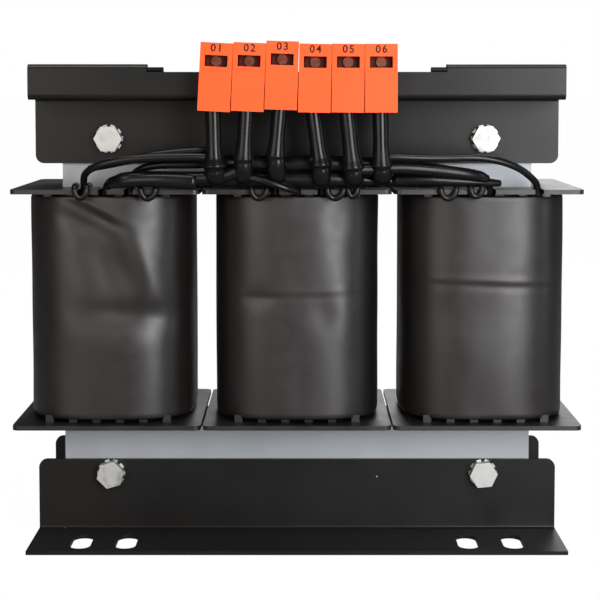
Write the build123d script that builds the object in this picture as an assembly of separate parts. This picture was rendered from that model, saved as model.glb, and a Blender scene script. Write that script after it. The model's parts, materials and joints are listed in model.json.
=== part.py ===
"""Three-phase open-frame dry transformer: a laminated three-leg core clamped by four
sheet brackets, three wrapped coils on moulded bobbins, and six screw terminals.

Millimetres. X runs to the right along the core, -Y is the terminal side, Z is up.
The origin is on the floor, under the middle of the core.
"""
from build123d import *
import math
import os

# Core, stacked from E and I laminations in alternating packets
LEG = 50.0
WINDOW_WIDTH = 50.0
WINDOW_HEIGHT = 130.0
STACK = 55.0
PACKETS = 5
CORE_BOTTOM = 7.0

# Clamping brackets, folded from sheet
SHEET = 2.0
BEND = 3.0
BRACKET_LENGTH = 278.0
LOWER_WEB_TOP = 39.4
FOOT_REACH = 46.0
SLOT_X = (89.0, 112.5)
SLOT_WIDTH = 10.7
SLOT_LENGTH = 25.0
SLOT_FROM_CORE = 28.6
UPPER_WEB_BOTTOM = 198.9
LEDGE_BOTTOM = 232.7
RAIL_STEP = 25.5
RAIL_TOP = 251.1
RAIL_FLANGE = 10.0
NOTCH_WIDTH = 155.5
NOTCH_DROP = 4.0
WEB_CORNER = 4.5

# Clamp bolts
BOLT_X = 100.0
BOLT_RADIUS = 4.0
HOLE_RADIUS = 4.5
HEAD_ACROSS_FLATS = 13.0
HEAD_HEIGHT = 5.3
NUT_HEIGHT = 6.5
BOLT_PROUD = 3.4
LOCK_WASHER_RADIUS = 7.5
LOCK_WASHER_THICK = 0.8
LOCK_WASHER_TEETH = 10
FLAT_WASHER_RADIUS = 8.0
FLAT_WASHER_THICK = 1.6

# Bobbins and the coils on them
FLANGE_WIDTH = 98.8
FLANGE_DEPTH = 103.0
FLANGE_THICK = 2.4
FLANGE_CORNER = 3.5
FLANGE_INSET = 2.7
TOP_FLANGE_INSET = 0.9
BOBBIN_WALL = 2.0
BOBBIN_CLEARANCE = 0.3
RIB_WIDTH = 4.2
RIB_PITCH = 12.4
RIB_COUNT = 6
RIB_SETBACK = 5.0
BOTTOM_RIB_HEIGHT = 4.0
TOP_RIB_HEIGHT = 1.8
COIL_HALF_WIDTH = 44.5
COIL_HALF_DEPTH = 47.5
COIL_CORNER = 21.0
COIL_BULGE = 2.5
WRAP_THICK = 0.5
INSULATION_THICK = 0.8
PRIMARY_SHARE = 0.5
WRAP_OVERHANG = 0.4

# Terminals clipped over the front rail
TERMINAL_COUNT = 6
TERMINAL_PITCH = 16.95
TERMINAL_WIDTH = 16.4
TERMINAL_BOTTOM = 227.0
TERMINAL_HEIGHT = 34.6
TERMINAL_REACH = 18.0
TERMINAL_LEAN = (3.0, 2.4, 1.8, 1.2, 0.6, 0.0)
TERMINAL_LIFT = (0.0, 0.0, 0.8, -0.6, -0.6, -0.6)
HOOK_THICK = 4.0
CLIP_CLEARANCE = 0.2
WINDOW_ACROSS = 11.6
WINDOW_TALL = 5.8
WINDOW_CENTRE = 25.4
POCKET_DEPTH = 14.4
ENTRY_ACROSS = 7.0
ENTRY_DEEP = 6.2
CLAMP_DEPTH = 8.6
SCREW_RADIUS = 2.6
SCREW_HEAD = 1.9

# Leads and their sleeves
LEAD_RADIUS = 1.9
LEAD_DEPTH = 60.5
SLEEVE_TOP_RADIUS = 3.8
SLEEVE_WAIST_RADIUS = 3.4
SLEEVE_FLARE_RADIUS = 5.6
SLEEVE_ENDS = (207.5, 207.5, 207.5, 203.0, 203.5, 206.6)
SOCKET_DEPTH = 3.0
BEND_BELOW_SLEEVE = 5.0
NOTCH_MARGIN = 0.4

CORE_WIDTH = 3 * LEG + 2 * WINDOW_WIDTH
CORE_HEIGHT = WINDOW_HEIGHT + 2 * LEG
CORE_TOP = CORE_BOTTOM + CORE_HEIGHT
CORE_FACE = STACK / 2
PACKET = STACK / PACKETS
YOKE_TOP = CORE_BOTTOM + LEG
WINDOW_TOP = YOKE_TOP + WINDOW_HEIGHT
PITCH = LEG + WINDOW_WIDTH
BOLT_Z = (CORE_BOTTOM + LEG / 2, CORE_TOP - LEG / 2)
COIL_X = {"left": -PITCH, "middle": 0.0, "right": PITCH}

FLANGE_BOTTOM = YOKE_TOP + FLANGE_INSET
TOP_FLANGE_TOP = WINDOW_TOP - TOP_FLANGE_INSET
WINDING_BOTTOM = FLANGE_BOTTOM + FLANGE_THICK + BOTTOM_RIB_HEIGHT
WINDING_TOP = TOP_FLANGE_TOP - FLANGE_THICK - TOP_RIB_HEIGHT
TUBE_HALF_WIDTH = LEG / 2 + BOBBIN_CLEARANCE + BOBBIN_WALL
TUBE_HALF_DEPTH = STACK / 2 + BOBBIN_CLEARANCE + BOBBIN_WALL

RAIL_FACE = -(CORE_FACE + RAIL_STEP)
TERMINAL_FRONT = RAIL_FACE - TERMINAL_REACH
NOTCH_TOP = RAIL_TOP - NOTCH_DROP


def block(x, y, z):
    """A box between two limits on each axis."""
    low = (x[0], y[0], z[0])
    size = (x[1] - x[0], y[1] - y[0], z[1] - z[0])
    return Pos(*low) * Box(*size, align=(Align.MIN, Align.MIN, Align.MIN))


def rod_y(x, z, radius, y):
    """A cylinder along Y between two limits."""
    face = Plane(origin=(x, y[0], z), z_dir=(0, 1, 0)) * Circle(radius)
    return extrude(face, y[1] - y[0])


# Core ---------------------------------------------------------------------------------
def e_outline():
    """An E with its yoke at the bottom and three legs up, in the XZ plane."""
    outline = Pos(0, YOKE_TOP - LEG / 2) * Rectangle(CORE_WIDTH, LEG)
    for x in COIL_X.values():
        outline += Pos(x, CORE_BOTTOM + (LEG + WINDOW_HEIGHT) / 2) * Rectangle(LEG, LEG + WINDOW_HEIGHT)
    return outline


def packet(outline, index, upside_down):
    """One packet of laminations, with the holes for the clamp bolts in its yoke."""
    back = -CORE_FACE + (index + 1) * PACKET
    solid = extrude(Plane(origin=(0, back, 0), x_dir=(1, 0, 0), z_dir=(0, -1, 0)) * outline, PACKET)
    if upside_down:
        middle = Plane(origin=(0, 0, CORE_BOTTOM + CORE_HEIGHT / 2), z_dir=(0, 0, 1))
        solid = solid.mirror(middle)
    for x in (-BOLT_X, BOLT_X):
        for z in BOLT_Z:
            solid -= rod_y(x, z, HOLE_RADIUS, (-STACK, STACK))
    return solid


def core_nodes():
    """Even packets have the E upright, odd ones inverted, and each I closes its E."""
    i_outline = Pos(0, WINDOW_TOP + LEG / 2) * Rectangle(CORE_WIDTH, LEG)
    even = range(0, PACKETS, 2)
    odd = range(1, PACKETS, 2)
    return {
        "core_e_laminations_upright": [packet(e_outline(), i, False) for i in even],
        "core_e_laminations_inverted": [packet(e_outline(), i, True) for i in odd],
        "core_i_laminations_top": [packet(i_outline, i, False) for i in even],
        "core_i_laminations_bottom": [packet(i_outline, i, True) for i in odd],
    }


# Brackets -----------------------------------------------------------------------------
def folded_sheet(points):
    """A sheet of the bracket's length, folded along a centre line given as (y, z) points."""
    plane = Plane(origin=(-BRACKET_LENGTH / 2, 0, 0), x_dir=(0, 1, 0), z_dir=(1, 0, 0))
    centre_line = FilletPolyline(*points, radius=BEND - SHEET / 2)
    return extrude(plane * trace(centre_line, SHEET), BRACKET_LENGTH)


def round_web_corners(sheet, z):
    """Rounds the two free corners of the web that lie at height z."""
    edges = sheet.edges().filter_by(Axis.Y).filter_by_position(Axis.Z, z - 0.01, z + 0.01)
    ends = [edge for edge in edges if abs(abs(edge.center().X) - BRACKET_LENGTH / 2) < 0.01]
    web = [edge for edge in ends if abs(abs(edge.center().Y) - CORE_FACE - SHEET / 2) < 0.01]
    return fillet(web, WEB_CORNER)


def bolt_holes(sheet, z):
    for x in (-BOLT_X, BOLT_X):
        sheet -= rod_y(x, z, HOLE_RADIUS, (-2 * STACK, 0))
    return sheet


def lower_bracket():
    """An angle whose web lies on the lower yoke and whose foot has four slots."""
    web = -(CORE_FACE + SHEET / 2)
    foot_edge = -(CORE_FACE + FOOT_REACH)
    sheet = folded_sheet([(web, LOWER_WEB_TOP), (web, SHEET / 2), (foot_edge, SHEET / 2)])
    sheet = round_web_corners(sheet, LOWER_WEB_TOP)
    for x in (*SLOT_X, *(-x for x in SLOT_X)):
        place = Pos(x, -(CORE_FACE + SLOT_FROM_CORE), 0) * Rot(0, 0, 90)
        sheet -= extrude(place * SlotOverall(SLOT_LENGTH, SLOT_WIDTH), 2 * SHEET)
    return bolt_holes(sheet, BOLT_Z[0])


def upper_bracket():
    """A stepped rail: web on the upper yoke, ledge, raised face and a turned-back top
    that is cut away along the middle."""
    web = -(CORE_FACE + SHEET / 2)
    face = RAIL_FACE + SHEET / 2
    ledge = LEDGE_BOTTOM + SHEET / 2
    top = RAIL_TOP - SHEET / 2
    sheet = folded_sheet([
        (web, UPPER_WEB_BOTTOM),
        (web, ledge),
        (face, ledge),
        (face, top),
        (RAIL_FACE + RAIL_FLANGE, top),
    ])
    sheet = round_web_corners(sheet, UPPER_WEB_BOTTOM)
    half = NOTCH_WIDTH / 2
    sheet -= block((-half, half), (RAIL_FACE - 1, RAIL_FACE + RAIL_FLANGE + 1), (NOTCH_TOP, RAIL_TOP + 1))
    return bolt_holes(sheet, BOLT_Z[1])


def bracket_nodes():
    lower = lower_bracket()
    upper = upper_bracket()
    return {
        "lower_bracket_front": [lower],
        "lower_bracket_rear": [lower.mirror(Plane.XZ)],
        "upper_bracket_front": [upper],
        "upper_bracket_rear": [upper.mirror(Plane.XZ)],
    }


# Fasteners ----------------------------------------------------------------------------
def hexagon(across_flats, turn):
    return Rot(0, 0, turn) * RegularPolygon(across_flats / 2, 6, major_radius=False)


def hex_prism(across_flats, y, turn):
    """A hexagon extruded along Y with its outer corners chamfered at the far side."""
    plane = Plane(origin=(0, y[0], 0), x_dir=(1, 0, 0), z_dir=(0, math.copysign(1, y[1] - y[0]), 0))
    length = abs(y[1] - y[0])
    prism = extrude(plane * hexagon(across_flats, turn), length)
    corner = across_flats / math.sqrt(3)
    cone = extrude(plane * Circle(corner + length * 1.7), length, taper=60)
    return prism & cone


def clamp_bolt(turn):
    """A hexagon-headed bolt from the front, its axis on Y."""
    seat = -(CORE_FACE + SHEET + LOCK_WASHER_THICK)
    end = CORE_FACE + SHEET + FLAT_WASHER_THICK + NUT_HEIGHT + BOLT_PROUD
    head = hex_prism(HEAD_ACROSS_FLATS, (seat, seat - HEAD_HEIGHT), turn)
    shank = rod_y(0, 0, BOLT_RADIUS, (seat, end))
    tip = shank.edges().filter_by(GeomType.CIRCLE).sort_by(Axis.Y)[-1]
    return head + chamfer(tip, 0.8)


def lock_washer():
    """A washer with teeth around its edge, seated on the front bracket."""
    seat = -(CORE_FACE + SHEET)
    root = LOCK_WASHER_RADIUS - 1.6
    ring = Circle(root)
    tooth = Pos(root + 0.4, 0) * Rectangle(2.4, 2.4)
    for i in range(LOCK_WASHER_TEETH):
        ring += Rot(0, 0, i * 360 / LOCK_WASHER_TEETH) * tooth
    ring -= Circle(HOLE_RADIUS)
    plane = Plane(origin=(0, seat, 0), x_dir=(1, 0, 0), z_dir=(0, -1, 0))
    return extrude(plane * ring, LOCK_WASHER_THICK)


def flat_washer():
    seat = CORE_FACE + SHEET
    plane = Plane(origin=(0, seat, 0), x_dir=(1, 0, 0), z_dir=(0, 1, 0))
    return extrude(plane * (Circle(FLAT_WASHER_RADIUS) - Circle(HOLE_RADIUS)), FLAT_WASHER_THICK)


def nut():
    seat = CORE_FACE + SHEET + FLAT_WASHER_THICK
    body = hex_prism(HEAD_ACROSS_FLATS, (seat, seat + NUT_HEIGHT), 10)
    return body - rod_y(0, 0, BOLT_RADIUS, (seat - 1, seat + NUT_HEIGHT + 1))


def at_bolts(make):
    """One copy of a fastener at each of the four bolt positions."""
    places = [(x, z) for x in (-BOLT_X, BOLT_X) for z in BOLT_Z]
    return [Pos(x, 0, z) * make(i) for i, (x, z) in enumerate(places)]


def fastener_nodes():
    head_turn = (15.0, 0.0, 5.0, 2.0)
    return {
        "clamp_bolts": at_bolts(lambda i: clamp_bolt(head_turn[i])),
        "toothed_lock_washers": at_bolts(lambda i: lock_washer()),
        "rear_washers": at_bolts(lambda i: flat_washer()),
        "clamp_nuts": at_bolts(lambda i: nut()),
    }


# Bobbins and coils --------------------------------------------------------------------
def coil_outline(half_width, half_depth, corner, bulge):
    """A rectangle whose front and back bow out, with its corners rounded."""
    shoulder = half_depth - bulge
    front = ThreePointArc((-half_width, -shoulder), (0, -half_depth), (half_width, -shoulder))
    right = Line((half_width, -shoulder), (half_width, shoulder))
    back = ThreePointArc((half_width, shoulder), (0, half_depth), (-half_width, shoulder))
    left = Line((-half_width, shoulder), (-half_width, -shoulder))
    outline = make_face(Curve() + [front, right, back, left])
    return fillet(outline.vertices(), corner)


def outline_at(share):
    """The coil's outline a share of the way from the bobbin's tube to its outside."""
    half_width = TUBE_HALF_WIDTH + share * (COIL_HALF_WIDTH - WRAP_THICK - TUBE_HALF_WIDTH)
    half_depth = TUBE_HALF_DEPTH + share * (COIL_HALF_DEPTH - WRAP_THICK - TUBE_HALF_DEPTH)
    return coil_outline(half_width, half_depth, COIL_CORNER * share, COIL_BULGE * share)


def tube_outline():
    return Rectangle(2 * TUBE_HALF_WIDTH, 2 * TUBE_HALF_DEPTH)


def flange(bottom):
    plate = RectangleRounded(FLANGE_WIDTH, FLANGE_DEPTH, FLANGE_CORNER)
    return extrude(Pos(0, 0, bottom) * plate, FLANGE_THICK)


def ribs(bottom, height):
    """Spacer ribs between a flange and the winding, on the front and the back."""
    deep = COIL_HALF_DEPTH - WRAP_THICK - RIB_SETBACK
    first = -(RIB_COUNT - 1) / 2 * RIB_PITCH
    row = Part()
    for i in range(RIB_COUNT):
        x = first + i * RIB_PITCH
        for side in (-1, 1):
            y = sorted((side * (TUBE_HALF_DEPTH + 4), side * deep))
            row += block((x - RIB_WIDTH / 2, x + RIB_WIDTH / 2), y, (bottom, bottom + height))
    return row


def bobbin(lead_places):
    """A square tube over the leg, with a flange at each end. Leads leave the coil
    through slots that are open to the front edge of the top flange."""
    tube = extrude(Pos(0, 0, YOKE_TOP) * tube_outline(), TOP_FLANGE_TOP - YOKE_TOP)
    low = flange(FLANGE_BOTTOM)
    high = flange(TOP_FLANGE_TOP - FLANGE_THICK)
    low_ribs = ribs(FLANGE_BOTTOM + FLANGE_THICK, BOTTOM_RIB_HEIGHT)
    high_ribs = ribs(WINDING_TOP, TOP_RIB_HEIGHT)
    solid = tube + low + high + low_ribs + high_ribs
    hole = Rectangle(LEG + 2 * BOBBIN_CLEARANCE, STACK + 2 * BOBBIN_CLEARANCE)
    solid -= extrude(Pos(0, 0, YOKE_TOP - 1) * hole, WINDOW_HEIGHT + 2)
    half = LEAD_RADIUS + NOTCH_MARGIN
    for x, y in lead_places:
        slot = Pos(x, y) * Circle(half) + Pos(x, (y - FLANGE_DEPTH / 2) / 2 - 1) * Rectangle(
            2 * half, FLANGE_DEPTH / 2 + y + 2
        )
        solid -= extrude(Pos(0, 0, TOP_FLANGE_TOP - FLANGE_THICK - 0.01) * slot, FLANGE_THICK + 1)
    return solid


def ring(outer, inner, bottom, top):
    return extrude(Pos(0, 0, bottom) * (outer - inner), top - bottom)


def coil_nodes(name, x, lead_places):
    """The bobbin and, from the inside out, what is wound on it."""
    insulation = INSULATION_THICK / (COIL_HALF_DEPTH - TUBE_HALF_DEPTH)
    inner = outline_at(PRIMARY_SHARE)
    outer = outline_at(PRIMARY_SHARE + insulation)
    outside = outline_at(1.0)
    wrap = coil_outline(COIL_HALF_WIDTH, COIL_HALF_DEPTH, COIL_CORNER + WRAP_THICK, COIL_BULGE)
    bottom = WINDING_BOTTOM
    top = WINDING_TOP
    local = {
        "bobbin": bobbin(lead_places),
        "primary_winding": ring(inner, tube_outline(), bottom, top),
        "winding_insulation": ring(outer, inner, bottom, top),
        "secondary_winding": ring(outside, outer, bottom, top),
        "coil_wrap": ring(wrap, outside, bottom - WRAP_OVERHANG, top + WRAP_OVERHANG),
    }
    return {f"{part}_{name}": [Pos(x, 0, 0) * solid] for part, solid in local.items()}


# Terminals ----------------------------------------------------------------------------
def terminal_x(index):
    return (index - (TERMINAL_COUNT - 1) / 2) * TERMINAL_PITCH + 0.3


def terminal_place(index):
    """Where a terminal stands: at its bottom centre, leaning a little to the right."""
    place = Pos(terminal_x(index), 0, TERMINAL_BOTTOM + TERMINAL_LIFT[index])
    return place * Rot(0, TERMINAL_LEAN[index], 0)


def housing():
    """A moulded block in front of the rail, with a bridge over the rail's edge and a hook
    behind it. Local origin at the bottom of the block."""
    front = TERMINAL_FRONT
    face = RAIL_FACE - CLIP_CLEARANCE
    inside = RAIL_FACE + SHEET + CLIP_CLEARANCE
    hook = inside + HOOK_THICK
    bridge = NOTCH_TOP - TERMINAL_BOTTOM + 2.0
    hook_foot = LEDGE_BOTTOM + SHEET - TERMINAL_BOTTOM + 2.6
    top = TERMINAL_HEIGHT
    profile = Polyline(
        (front, 0),
        (face, 0),
        (face, bridge),
        (inside, bridge),
        (inside, hook_foot),
        (hook, hook_foot + 2),
        (hook, top),
        (front + 0.9, top),
        close=True,
    )
    plane = Plane(origin=(-TERMINAL_WIDTH / 2, 0, 0), x_dir=(0, 1, 0), z_dir=(1, 0, 0))
    body = extrude(plane * make_face(profile), TERMINAL_WIDTH)
    across = (-WINDOW_ACROSS / 2, WINDOW_ACROSS / 2)
    tall = (WINDOW_CENTRE - WINDOW_TALL / 2, WINDOW_CENTRE + WINDOW_TALL / 2)
    body -= block(across, (front - 1, front + POCKET_DEPTH), tall)
    entry = (-ENTRY_ACROSS / 2, ENTRY_ACROSS / 2)
    middle = -LEAD_DEPTH
    body -= block(entry, (middle - ENTRY_DEEP / 2, middle + ENTRY_DEEP / 2), (WINDOW_CENTRE, top + 1))
    body -= Pos(0, middle, -1) * Cylinder(LEAD_RADIUS + 0.4, WINDOW_CENTRE, align=(Align.CENTER, Align.CENTER, Align.MIN))
    body -= Pos(0, middle, -1) * Cylinder(
        SLEEVE_TOP_RADIUS + 0.2, SOCKET_DEPTH + 1, align=(Align.CENTER, Align.CENTER, Align.MIN)
    )
    groove = (tall[0] - 2.6, tall[0] - 1.4)
    body -= block((-7.0, 7.0), (front - 1, front + 0.7), groove)
    return body


def clamp():
    """A nickel-plated cage at the back of the pocket that the wire passes up through."""
    back = TERMINAL_FRONT + POCKET_DEPTH
    half = WINDOW_ACROSS / 2 - 0.5
    tall = WINDOW_TALL / 2
    cage = block((-half, half), (back - CLAMP_DEPTH, back), (WINDOW_CENTRE - tall, WINDOW_CENTRE + tall - 0.6))
    cage -= Pos(0, -LEAD_DEPTH, WINDOW_CENTRE) * Cylinder(LEAD_RADIUS + 0.15, 20)
    return cage - rod_y(0, WINDOW_CENTRE, 1.5, (back - CLAMP_DEPTH - 1, -LEAD_DEPTH))


def clamp_screw():
    """A slotted cheese-head screw that faces the front, above the wire."""
    seat = TERMINAL_FRONT + POCKET_DEPTH - CLAMP_DEPTH
    tip = -LEAD_DEPTH - LEAD_RADIUS
    screw = rod_y(0, WINDOW_CENTRE, SCREW_RADIUS, (seat - SCREW_HEAD, seat))
    screw += rod_y(0, WINDOW_CENTRE, 1.5, (seat, tip))
    slot = block((-4, 4), (seat - SCREW_HEAD - 1, seat - SCREW_HEAD + 0.9), (-0.4, 0.4))
    return screw - Pos(0, 0, WINDOW_CENTRE) * slot


def terminal_nodes():
    places = [terminal_place(i) for i in range(TERMINAL_COUNT)]
    body = housing()
    nodes = {f"terminal_housing_{i + 1}": [place * body] for i, place in enumerate(places)}
    nodes["terminal_clamps"] = [place * clamp() for place in places]
    nodes["terminal_screws"] = [place * clamp_screw() for place in places]
    return nodes


# Leads --------------------------------------------------------------------------------
# Each route from below its sleeve to a point straight above its slot, chosen by hand.
ROUTES = {
    1: [
        (-47.5, -60.0, 198.5),
        (-58.0, -59.0, 199.8),
        (-80.0, -57.5, 200.8),
        (-100.0, -54.5, 198.5),
        (-110.0, -48.5, 194.5),
        (-111.5, -43.0, 189.5),
    ],
    2: [
        (-30.0, -58.5, 196.5),
        (-44.0, -56.0, 193.2),
        (-60.0, -55.0, 192.2),
        (-82.0, -54.0, 193.2),
        (-96.0, -49.5, 191.8),
        (-101.0, -43.0, 189.5),
    ],
    3: [(-9.6, -56.5, 196.5), (-11.0, -49.5, 194.5), (-11.5, -43.0, 191.0)],
    4: [(9.5, -57.5, 192.5), (12.0, -50.0, 190.3), (13.0, -43.0, 189.8)],
    5: [
        (29.5, -60.0, 194.5),
        (39.5, -59.0, 194.6),
        (58.0, -57.0, 196.4),
        (80.0, -55.2, 195.4),
        (94.0, -50.5, 193.0),
        (101.0, -43.0, 190.0),
    ],
    6: [
        (47.2, -60.3, 199.8),
        (57.0, -59.5, 201.8),
        (76.0, -58.0, 202.8),
        (97.0, -56.5, 202.3),
        (113.0, -52.5, 198.8),
        (123.0, -47.0, 194.0),
        (126.0, -43.0, 189.5),
    ],
}
PHASE_LINK = [
    (-87.5, -43.0, WINDING_TOP),
    (-87.5, -43.0, 190.5),
    (-83.0, -47.5, 196.0),
    (-72.0, -50.0, 198.5),
    (-56.0, -50.8, 198.2),
    (-39.0, -50.5, 199.5),
    (-28.0, -52.0, 195.0),
    (-18.0, -56.0, 190.6),
    (-8.0, -56.0, 189.8),
    (-1.0, -51.0, 189.4),
    (0.0, -43.0, 189.0),
    (0.0, -43.0, WINDING_TOP),
]


def corner_radii(points):
    """A radius for each corner: 0.45 of its shorter run, over the tangent of half its turn."""
    radii = []
    for before, here, after in zip(points, points[1:], points[2:]):
        run_in = Vector(*here) - Vector(*before)
        run_out = Vector(*after) - Vector(*here)
        half_turn = math.radians(run_in.get_angle(run_out)) / 2
        radii.append(0.45 * min(run_in.length, run_out.length) / math.tan(half_turn))
    return radii


def tube_along(points, name):
    """A round wire along straight runs joined by tangent arcs."""
    radii = corner_radii(points)
    path = FilletPolyline(*points, radius=radii)
    start = Plane(origin=points[0], z_dir=path.tangent_at(0))
    tube = sweep(start * Circle(LEAD_RADIUS), path)
    expected = math.pi * LEAD_RADIUS**2 * path.length
    print(name, "radii", [round(r, 1) for r in radii], "volume ratio", round(tube.volume / expected, 4))
    return tube


def sleeve_axis(index):
    """The upper and lower ends of the straight part of a lead, which leans as its terminal does."""
    place = terminal_place(index)
    upper = place * Pos(0, -LEAD_DEPTH, WINDOW_CENTRE - 0.5)
    drop = SLEEVE_ENDS[index] - TERMINAL_BOTTOM
    lower = place * Pos(0, -LEAD_DEPTH, drop - BEND_BELOW_SLEEVE)
    return tuple(upper.position), tuple(lower.position)


def sleeve(index):
    """A shrunk sleeve, narrow below the terminal and flared at its lower end."""
    drop = TERMINAL_BOTTOM - SLEEVE_ENDS[index]
    profile = Polyline(
        (LEAD_RADIUS, 2.5),
        (SLEEVE_TOP_RADIUS, 2.5),
        (SLEEVE_TOP_RADIUS, -2.0),
        (SLEEVE_WAIST_RADIUS, -0.35 * drop),
        (SLEEVE_WAIST_RADIUS + 0.5, -0.62 * drop),
        (SLEEVE_FLARE_RADIUS, -0.9 * drop),
        (SLEEVE_FLARE_RADIUS - 0.5, -drop),
        (LEAD_RADIUS, -drop),
        close=True,
    )
    solid = revolve(Plane.XZ * make_face(profile), Axis.Z)
    return terminal_place(index) * Pos(0, -LEAD_DEPTH, 0) * solid


def lead_nodes():
    nodes = {}
    for number, route in ROUTES.items():
        upper, lower = sleeve_axis(number - 1)
        above = route[-1]
        points = [upper, lower, *route, (above[0], above[1], WINDING_TOP)]
        nodes[f"lead_{number}"] = [tube_along(points, f"lead_{number}")]
        nodes[f"lead_sleeve_{number}"] = [sleeve(number - 1)]
    nodes["phase_link"] = [tube_along(PHASE_LINK, "phase_link")]
    return nodes


def slots_for(name):
    """Where the leads leave one coil, measured from the middle of its bobbin."""
    ends = [*(route[-1] for route in ROUTES.values()), PHASE_LINK[0], PHASE_LINK[-1]]
    return [(x - COIL_X[name], y) for x, y, z in ends if abs(x - COIL_X[name]) < PITCH / 2]


def main():
    nodes = {**core_nodes(), **bracket_nodes(), **fastener_nodes()}
    for name, x in COIL_X.items():
        nodes.update(coil_nodes(name, x, slots_for(name)))
    nodes.update(terminal_nodes())
    nodes.update(lead_nodes())
    os.makedirs("parts", exist_ok=True)
    for name, shapes in nodes.items():
        solids = [solid for shape in shapes for solid in shape.solids()]
        export_step(Compound(solids), f"parts/{name}.step")


if __name__ == "__main__":
    main()
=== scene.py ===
"""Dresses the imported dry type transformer: finishes for its CAD nodes, the wrapped coils,
leads and sleeves as modelled surfaces, generic terminal numbers, and a plain studio."""
import json
import math

import bpy
import numpy as np
from bpy.props import FloatProperty, FloatVectorProperty, PointerProperty
from mathutils import Euler, Matrix, Vector


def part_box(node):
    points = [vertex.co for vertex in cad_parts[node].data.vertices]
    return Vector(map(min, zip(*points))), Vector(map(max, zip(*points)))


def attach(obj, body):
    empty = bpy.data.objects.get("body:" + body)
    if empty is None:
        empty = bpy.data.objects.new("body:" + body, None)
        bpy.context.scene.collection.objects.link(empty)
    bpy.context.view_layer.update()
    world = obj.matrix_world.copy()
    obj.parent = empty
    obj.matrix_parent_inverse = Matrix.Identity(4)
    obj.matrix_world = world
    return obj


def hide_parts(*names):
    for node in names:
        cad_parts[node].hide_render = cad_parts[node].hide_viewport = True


bl_info = {
    "name": "Dry Type Transformer",
    "version": (1, 0, 0),
    "blender": (4, 5, 0),
    "location": "View3D > Sidebar > Transformer",
    "description": "Finishes, wrapped coils, leads and studio for an open-frame transformer",
    "category": "Object",
}

MM = 0.001
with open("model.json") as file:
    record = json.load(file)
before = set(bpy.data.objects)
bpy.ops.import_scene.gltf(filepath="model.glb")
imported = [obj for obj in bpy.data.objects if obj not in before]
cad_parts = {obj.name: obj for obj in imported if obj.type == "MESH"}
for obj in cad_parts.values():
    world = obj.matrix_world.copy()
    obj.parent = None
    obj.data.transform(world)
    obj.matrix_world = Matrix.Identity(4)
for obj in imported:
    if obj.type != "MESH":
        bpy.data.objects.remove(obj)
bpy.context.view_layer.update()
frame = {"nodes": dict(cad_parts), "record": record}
NODES = frame["nodes"]
SIDES = ("left", "middle", "right")


# Settings -----------------------------------------------------------------------------
def colour(name, description, default):
    return FloatVectorProperty(
        name=name, description=description, default=default, size=3, min=0, max=1, subtype="COLOR"
    )


def length(name, description, default):
    return FloatProperty(name=name, description=description, default=default, min=0, unit="LENGTH")


class TransformerColours(bpy.types.PropertyGroup):
    """Colours of the finishes, as linear values."""

    paint: colour("Bracket paint", "Black paint of the clamp brackets", (0.007, 0.0068, 0.0066))
    core: colour("Core steel", "Rolled steel of the laminations", (0.265, 0.285, 0.31))
    housing: colour("Terminal housing", "Orange plastic of the terminals", (0.82, 0.078, 0.012))
    film: colour("Coil film", "Black film around the coils", (0.004, 0.0038, 0.0042))
    film_warm: colour("Coil film, warm", "Brownish patches of the film", (0.009, 0.0066, 0.0056))
    plastic: colour("Bobbin plastic", "Black moulded bobbins", (0.005, 0.005, 0.005))
    rubber: colour("Lead cover", "Glossy black of leads and sleeves", (0.003, 0.003, 0.0033))
    zinc: colour("Zinc", "Plating of the bolts, nuts and washers", (0.50, 0.51, 0.50))


class TransformerSizes(bpy.types.PropertyGroup):
    """Sizes of the pieces that are modelled around the frame."""

    film_thick: length("Film thickness", "Wall of the coil film", 0.5 * MM)
    dent_depth: length("Dent depth", "Depth of the deepest dent in the left coil", 3.2 * MM)
    film_gap: length("Film gap", "Room between the winding and the loose film", 3.4 * MM)
    film_reach: length("Film reach", "How far the film hangs below the coil", 1.2 * MM)
    coil_roundness: FloatProperty(
        name="Coil roundness",
        description="Power of the coil's outline, 2 for an ellipse",
        default=3.1,
        min=2,
        max=12,
    )
    wire_pitch: length("Wire pitch", "Height of one turn of the outer winding", 1.6 * MM)
    number_height: length("Number height", "Height of the numbers on the terminals", 3.9 * MM)


# Mesh helpers -------------------------------------------------------------------------
def mesh_piece(name, vertices, faces, smooth=True):
    """An object from arrays of vertices and of faces, in the frame's metres."""
    mesh = bpy.data.meshes.new(name)
    mesh.from_pydata(vertices.tolist(), [], faces.tolist() if hasattr(faces, "tolist") else faces)
    mesh.polygons.foreach_set("use_smooth", np.full(len(mesh.polygons), smooth))
    mesh.update()
    piece = bpy.data.objects.new(name, mesh)
    bpy.context.scene.collection.objects.link(piece)
    return piece


def grid_faces(rows, columns, closed):
    """Quads over a grid whose point (i, j) has index i * columns + j, wrapped round when closed."""
    i, j = np.meshgrid(np.arange(rows - 1), np.arange(columns if closed else columns - 1), indexing="ij")
    k = (j + 1) % columns
    here, above = i * columns, (i + 1) * columns
    return np.stack([here + j, here + k, above + k, above + j], -1).reshape(-1, 4)


def smooth_path(points, per_point=10):
    """A quadratic B-spline through the ends: arcs of (1-t)^2 a + 2t(1-t) p + t^2 b, where a and b
    are the middles of the runs beside the control point p."""
    p = np.asarray(points, float)
    middles = (p[:-1] + p[1:]) / 2
    start = np.vstack([p[:1], middles[1:]])
    end = np.vstack([middles[1:-1], p[-1:]]) if len(p) > 3 else p[-1:]
    start = start[: len(p) - 2]
    t = np.linspace(0, 1, per_point, endpoint=False)[None, :, None]
    arcs = (1 - t) ** 2 * start[:, None] + 2 * t * (1 - t) * p[1:-1, None] + t**2 * end[:, None]
    return np.vstack([arcs.reshape(-1, p.shape[1]), p[-1:]])


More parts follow.
